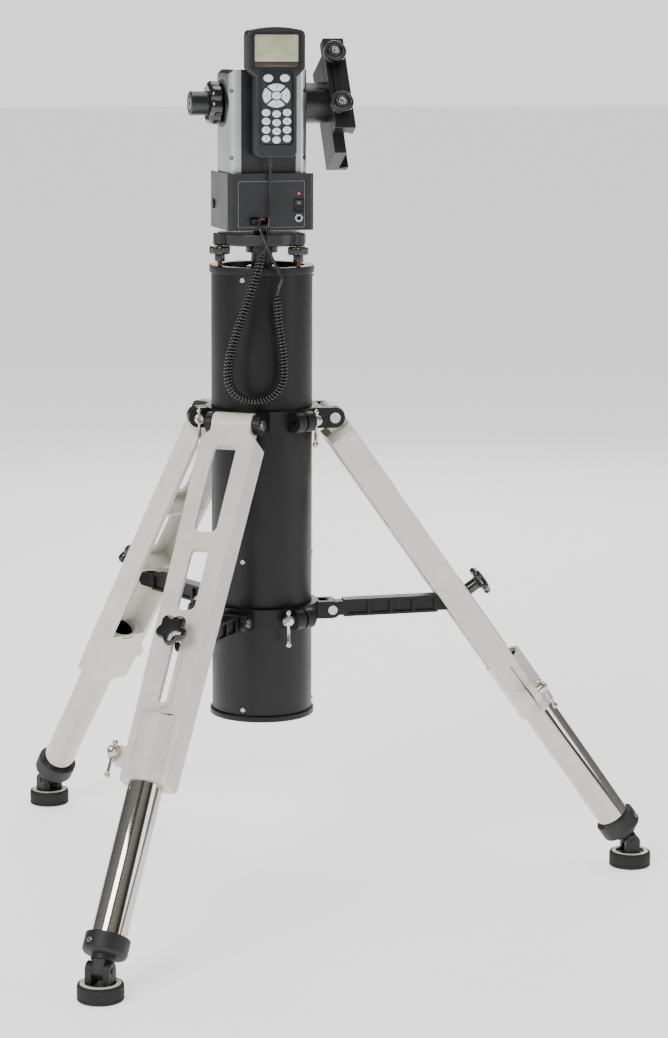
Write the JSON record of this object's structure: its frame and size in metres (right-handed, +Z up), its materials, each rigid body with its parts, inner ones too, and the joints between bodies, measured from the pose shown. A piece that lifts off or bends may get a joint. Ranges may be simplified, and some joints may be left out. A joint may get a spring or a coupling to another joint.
{
  "type": "star tracker mount",
  "caption": "Motor-driven altitude-azimuth telescope mount head with a corded hand controller, on a tubular pier with folding, extending tripod legs.",
  "frame": {"origin": "on the floor, on the pier axis, at the centre of the three feet", "axes": "+Z up along the pier axis, -Y towards the front of the head (its control panel and hand controller), +X towards the saddle"},
  "size_m": [0.9995, 1.0823, 1.312],
  "materials": {
    "pier_black": "satin black powder coat",
    "cast_white": "warm off-white fine-textured powder coat",
    "polished_tube": "mirror-polished stainless steel",
    "nickel": "bright nickel plate",
    "steel_pin": "turned steel",
    "boot_black": "moulded black nylon",
    "pad_rubber": "matt black rubber",
    "knob_black": "glossy black phenolic",
    "head_black": "satin black anodised and painted aluminium",
    "side_silver": "bead-blasted silver anodised sheet",
    "panel_black": "matt black control panel",
    "controller_plastic": "fine-textured black ABS",
    "key_rubber": "pale silicone",
    "cord_black": "glossy black cord jacket"
  },
  "bodies": {
    "stand": {"pier_tube": "pier_black", "pier_top_cap": "pier_black", "pier_bottom_ring": "pier_black", "pier_screws": "steel_pin", "upper_clamp_ring": "pier_black", "lower_clamp_ring": "pier_black", "leg_hinge_pins": "steel_pin", "arm_hinge_pins": "steel_pin", "centre_post": "head_black", "levelling_plate": "head_black"},
    "head": {"base_box": "head_black", "front_panel": "panel_black", "tower_body": "head_black", "side_panels": "side_silver", "controller_body": "controller_plastic", "controller_holder": "controller_plastic", "cord_leads": "cord_black", "cord_coil": "cord_black", "cord_plug": "cord_black"},
    "power_switch": {"power_switch": "panel_black"},
    "controller_keys": {"controller_keys": "key_rubber"},
    "altitude": {"altitude_shaft": "head_black", "saddle_plate": "head_black"},
    "clutch_knob": {"clutch_knob": "knob_black"},
    "saddle_jaw": {"saddle_jaw": "head_black"},
    "jaw_knob_1": {"jaw_knob_1": "knob_black"},
    "jaw_knob_2": {"jaw_knob_2": "knob_black"},
    "levelling_knob_1": {"levelling_knob_1": "knob_black"},
    "leg_1": {"leg_1_casting": "cast_white"},
    "leg_1_extension": {"leg_1_tube": "polished_tube", "leg_1_boot": "boot_black"},
    "foot_1": {"foot_1_pad": "pad_rubber", "foot_1_swivel": "boot_black"},
    "brace_arm_1": {"brace_arm_1": "pier_black"},
    "star_knob_1": {"star_knob_1": "knob_black"},
    "leg_clamp_1": {"leg_clamp_1": "nickel"},
    "upper_lock_1": {"upper_lock_1": "nickel"},
    "lower_lock_1": {"lower_lock_1": "nickel"},
    "levelling_knob_2": {"levelling_knob_2": "knob_black"},
    "leg_2": {"leg_2_casting": "cast_white"},
    "leg_2_extension": {"leg_2_tube": "polished_tube", "leg_2_boot": "boot_black"},
    "foot_2": {"foot_2_pad": "pad_rubber", "foot_2_swivel": "boot_black"},
    "brace_arm_2": {"brace_arm_2": "pier_black"},
    "star_knob_2": {"star_knob_2": "knob_black"},
    "leg_clamp_2": {"leg_clamp_2": "nickel"},
    "upper_lock_2": {"upper_lock_2": "nickel"},
    "lower_lock_2": {"lower_lock_2": "nickel"},
    "levelling_knob_3": {"levelling_knob_3": "knob_black"},
    "leg_3": {"leg_3_casting": "cast_white"},
    "leg_3_extension": {"leg_3_tube": "polished_tube", "leg_3_boot": "boot_black"},
    "foot_3": {"foot_3_pad": "pad_rubber", "foot_3_swivel": "boot_black"},
    "brace_arm_3": {"brace_arm_3": "pier_black"},
    "star_knob_3": {"star_knob_3": "knob_black"},
    "leg_clamp_3": {"leg_clamp_3": "nickel"},
    "upper_lock_3": {"upper_lock_3": "nickel"},
    "lower_lock_3": {"lower_lock_3": "nickel"}
  },
  "joints": [
    {"name": "leg_1_fold", "type": "hinge", "parent": "stand", "child": "leg_1", "pos_m": [0.10482, -0.01102, 0.73201], "axis": [0.1045, 0.9945, 0], "range_deg": [0, 12]},
    {"name": "brace_arm_1_swing", "type": "hinge", "parent": "stand", "child": "brace_arm_1", "pos_m": [0.10592, -0.01113, 0.43201], "axis": [0.1045, 0.9945, 0], "range_deg": [0, 36]},
    {"name": "star_knob_1_slide", "type": "slide", "parent": "leg_1", "child": "star_knob_1", "axis": [0.5719, -0.0601, -0.8181], "range_m": [0, 0.086]},
    {"name": "leg_1_extend", "type": "slide", "parent": "leg_1", "child": "leg_1_extension", "axis": [0.5719, -0.0601, -0.8181], "range_m": [0, 0.045]},
    {"name": "foot_1_tilt", "type": "hinge", "parent": "leg_1_extension", "child": "foot_1", "pos_m": [0.58718, -0.06171, 0.0419], "axis": [0.1045, 0.9945, 0], "range_deg": [-18, 18]},
    {"name": "leg_clamp_1_turn", "type": "hinge", "parent": "leg_1", "child": "leg_clamp_1", "pos_m": [0.41509, -0.09592, 0.3012], "axis": [0.8137, -0.0855, 0.575], "range_deg": [-100, 25]},
    {"name": "upper_lock_1_turn", "type": "hinge", "parent": "stand", "child": "upper_lock_1", "pos_m": [0.05493, -0.08282, 0.73201], "axis": [0.9135, 0.4067, 0], "range_deg": [-45, 10]},
    {"name": "lower_lock_1_turn", "type": "hinge", "parent": "stand", "child": "lower_lock_1", "pos_m": [0.02479, -0.09624, 0.43301], "axis": [-0.9135, -0.4067, 0], "range_deg": [-10, 45]},
    {"name": "levelling_knob_1_turn", "type": "hinge", "parent": "stand", "child": "levelling_knob_1", "pos_m": [0.04279, -0.05285, 0.984], "axis": [0, 0, 1], "range_deg": [-180, 180]},
    {"name": "leg_2_fold", "type": "hinge", "parent": "stand", "child": "leg_2", "pos_m": [-0.04287, 0.09629, 0.73201], "axis": [-0.9135, -0.4067, 0], "range_deg": [0, 12]},
    {"name": "brace_arm_2_swing", "type": "hinge", "parent": "stand", "child": "brace_arm_2", "pos_m": [-0.04332, 0.09729, 0.43201], "axis": [-0.9135, -0.4067, 0], "range_deg": [0, 36]},
    {"name": "star_knob_2_slide", "type": "slide", "parent": "leg_2", "child": "star_knob_2", "axis": [-0.2339, 0.5253, -0.8181], "range_m": [0, 0.086]},
    {"name": "leg_2_extend", "type": "slide", "parent": "leg_2", "child": "leg_2_extension", "axis": [-0.2339, 0.5253, -0.8181], "range_m": [0, 0.045]},
    {"name": "foot_2_tilt", "type": "hinge", "parent": "leg_2_extension", "child": "foot_2", "pos_m": [-0.24014, 0.53937, 0.0419], "axis": [-0.9135, -0.4067, 0], "range_deg": [-18, 18]},
    {"name": "leg_clamp_2_turn", "type": "hinge", "parent": "leg_2", "child": "leg_clamp_2", "pos_m": [-0.12448, 0.40744, 0.3012], "axis": [-0.3328, 0.7474, 0.575], "range_deg": [-100, 25]},
    {"name": "upper_lock_2_turn", "type": "hinge", "parent": "stand", "child": "upper_lock_2", "pos_m": [0.04425, 0.08898, 0.73201], "axis": [-0.809, 0.5878, 0], "range_deg": [-45, 10]},
    {"name": "lower_lock_2_turn", "type": "hinge", "parent": "stand", "child": "lower_lock_2", "pos_m": [0.07095, 0.06958, 0.43301], "axis": [0.809, -0.5878, 0], "range_deg": [-10, 45]},
    {"name": "levelling_knob_2_turn", "type": "hinge", "parent": "stand", "child": "levelling_knob_2", "pos_m": [0.02437, 0.06348, 0.984], "axis": [0, 0, 1], "range_deg": [-180, 180]},
    {"name": "leg_3_fold", "type": "hinge", "parent": "stand", "child": "leg_3", "pos_m": [-0.06195, -0.08527, 0.73201], "axis": [0.809, -0.5878, 0], "range_deg": [0, 12]},
    {"name": "brace_arm_3_swing", "type": "hinge", "parent": "stand", "child": "brace_arm_3", "pos_m": [-0.0626, -0.08616, 0.43201], "axis": [0.809, -0.5878, 0], "range_deg": [0, 36]},
    {"name": "star_knob_3_slide", "type": "slide", "parent": "leg_3", "child": "star_knob_3", "axis": [-0.338, -0.4652, -0.8181], "range_m": [0, 0.086]},
    {"name": "leg_3_extend", "type": "slide", "parent": "leg_3", "child": "leg_3_extension", "axis": [-0.338, -0.4652, -0.8181], "range_m": [0, 0.045]},
    {"name": "foot_3_tilt", "type": "hinge", "parent": "leg_3_extension", "child": "foot_3", "pos_m": [-0.34704, -0.47766, 0.0419], "axis": [0.809, -0.5878, 0], "range_deg": [-18, 18]},
    {"name": "leg_clamp_3_turn", "type": "hinge", "parent": "leg_3", "child": "leg_clamp_3", "pos_m": [-0.29061, -0.31152, 0.3012], "axis": [-0.4809, -0.6619, 0.575], "range_deg": [-100, 25]},
    {"name": "upper_lock_3_turn", "type": "hinge", "parent": "stand", "child": "upper_lock_3", "pos_m": [-0.09919, -0.00617, 0.73201], "axis": [-0.1045, -0.9945, 0], "range_deg": [-45, 10]},
    {"name": "lower_lock_3_turn", "type": "hinge", "parent": "stand", "child": "lower_lock_3", "pos_m": [-0.09574, 0.02665, 0.43301], "axis": [0.1045, 0.9945, 0], "range_deg": [-10, 45]},
    {"name": "levelling_knob_3_turn", "type": "hinge", "parent": "stand", "child": "levelling_knob_3", "pos_m": [-0.06716, -0.01064, 0.984], "axis": [0, 0, 1], "range_deg": [-180, 180]},
    {"name": "azimuth", "type": "hinge", "parent": "stand", "child": "head", "pos_m": [0, 0, 1.015], "axis": [0, 0, 1], "continuous": true},
    {"name": "altitude", "type": "hinge", "parent": "head", "child": "altitude", "pos_m": [0, 0, 1.2], "axis": [1, 0, 0], "range_deg": [-60, 60]},
    {"name": "clutch_turn", "type": "hinge", "parent": "altitude", "child": "clutch_knob", "pos_m": [-0.073, 0, 1.2], "axis": [1, 0, 0], "range_deg": [-90, 90]},
    {"name": "jaw_slide", "type": "slide", "parent": "altitude", "child": "saddle_jaw", "axis": [0, -0.866, 0.5], "range_m": [0, 0.006]},
    {"name": "jaw_knob_1_turn", "type": "hinge", "parent": "saddle_jaw", "child": "jaw_knob_1", "pos_m": [0.106, -0.00989, 1.26806], "axis": [0, -0.866, 0.5], "range_deg": [-180, 180]},
    {"name": "jaw_knob_2_turn", "type": "hinge", "parent": "saddle_jaw", "child": "jaw_knob_2", "pos_m": [0.106, -0.05214, 1.19489], "axis": [0, -0.866, 0.5], "range_deg": [-180, 180]},
    {"name": "power_rocker", "type": "hinge", "parent": "head", "child": "power_switch", "pos_m": [0.0418, -0.0562, 1.0515], "axis": [1, 0, 0], "range_deg": [0, 8]},
    {"name": "keypad_press", "type": "slide", "parent": "head", "child": "controller_keys", "axis": [0, 1, 0], "range_m": [0, 0.0009], "stiffness_N_per_m": 800}
  ],
  "couplings": [
    {"joint": "brace_arm_1_swing", "follows": "leg_1_fold", "ratio": 2.9},
    {"joint": "star_knob_1_slide", "follows": "leg_1_fold", "m_per_rad": 0.405},
    {"joint": "brace_arm_2_swing", "follows": "leg_2_fold", "ratio": 2.9},
    {"joint": "star_knob_2_slide", "follows": "leg_2_fold", "m_per_rad": 0.405},
    {"joint": "brace_arm_3_swing", "follows": "leg_3_fold", "ratio": 2.9},
    {"joint": "star_knob_3_slide", "follows": "leg_3_fold", "m_per_rad": 0.405}
  ]
}
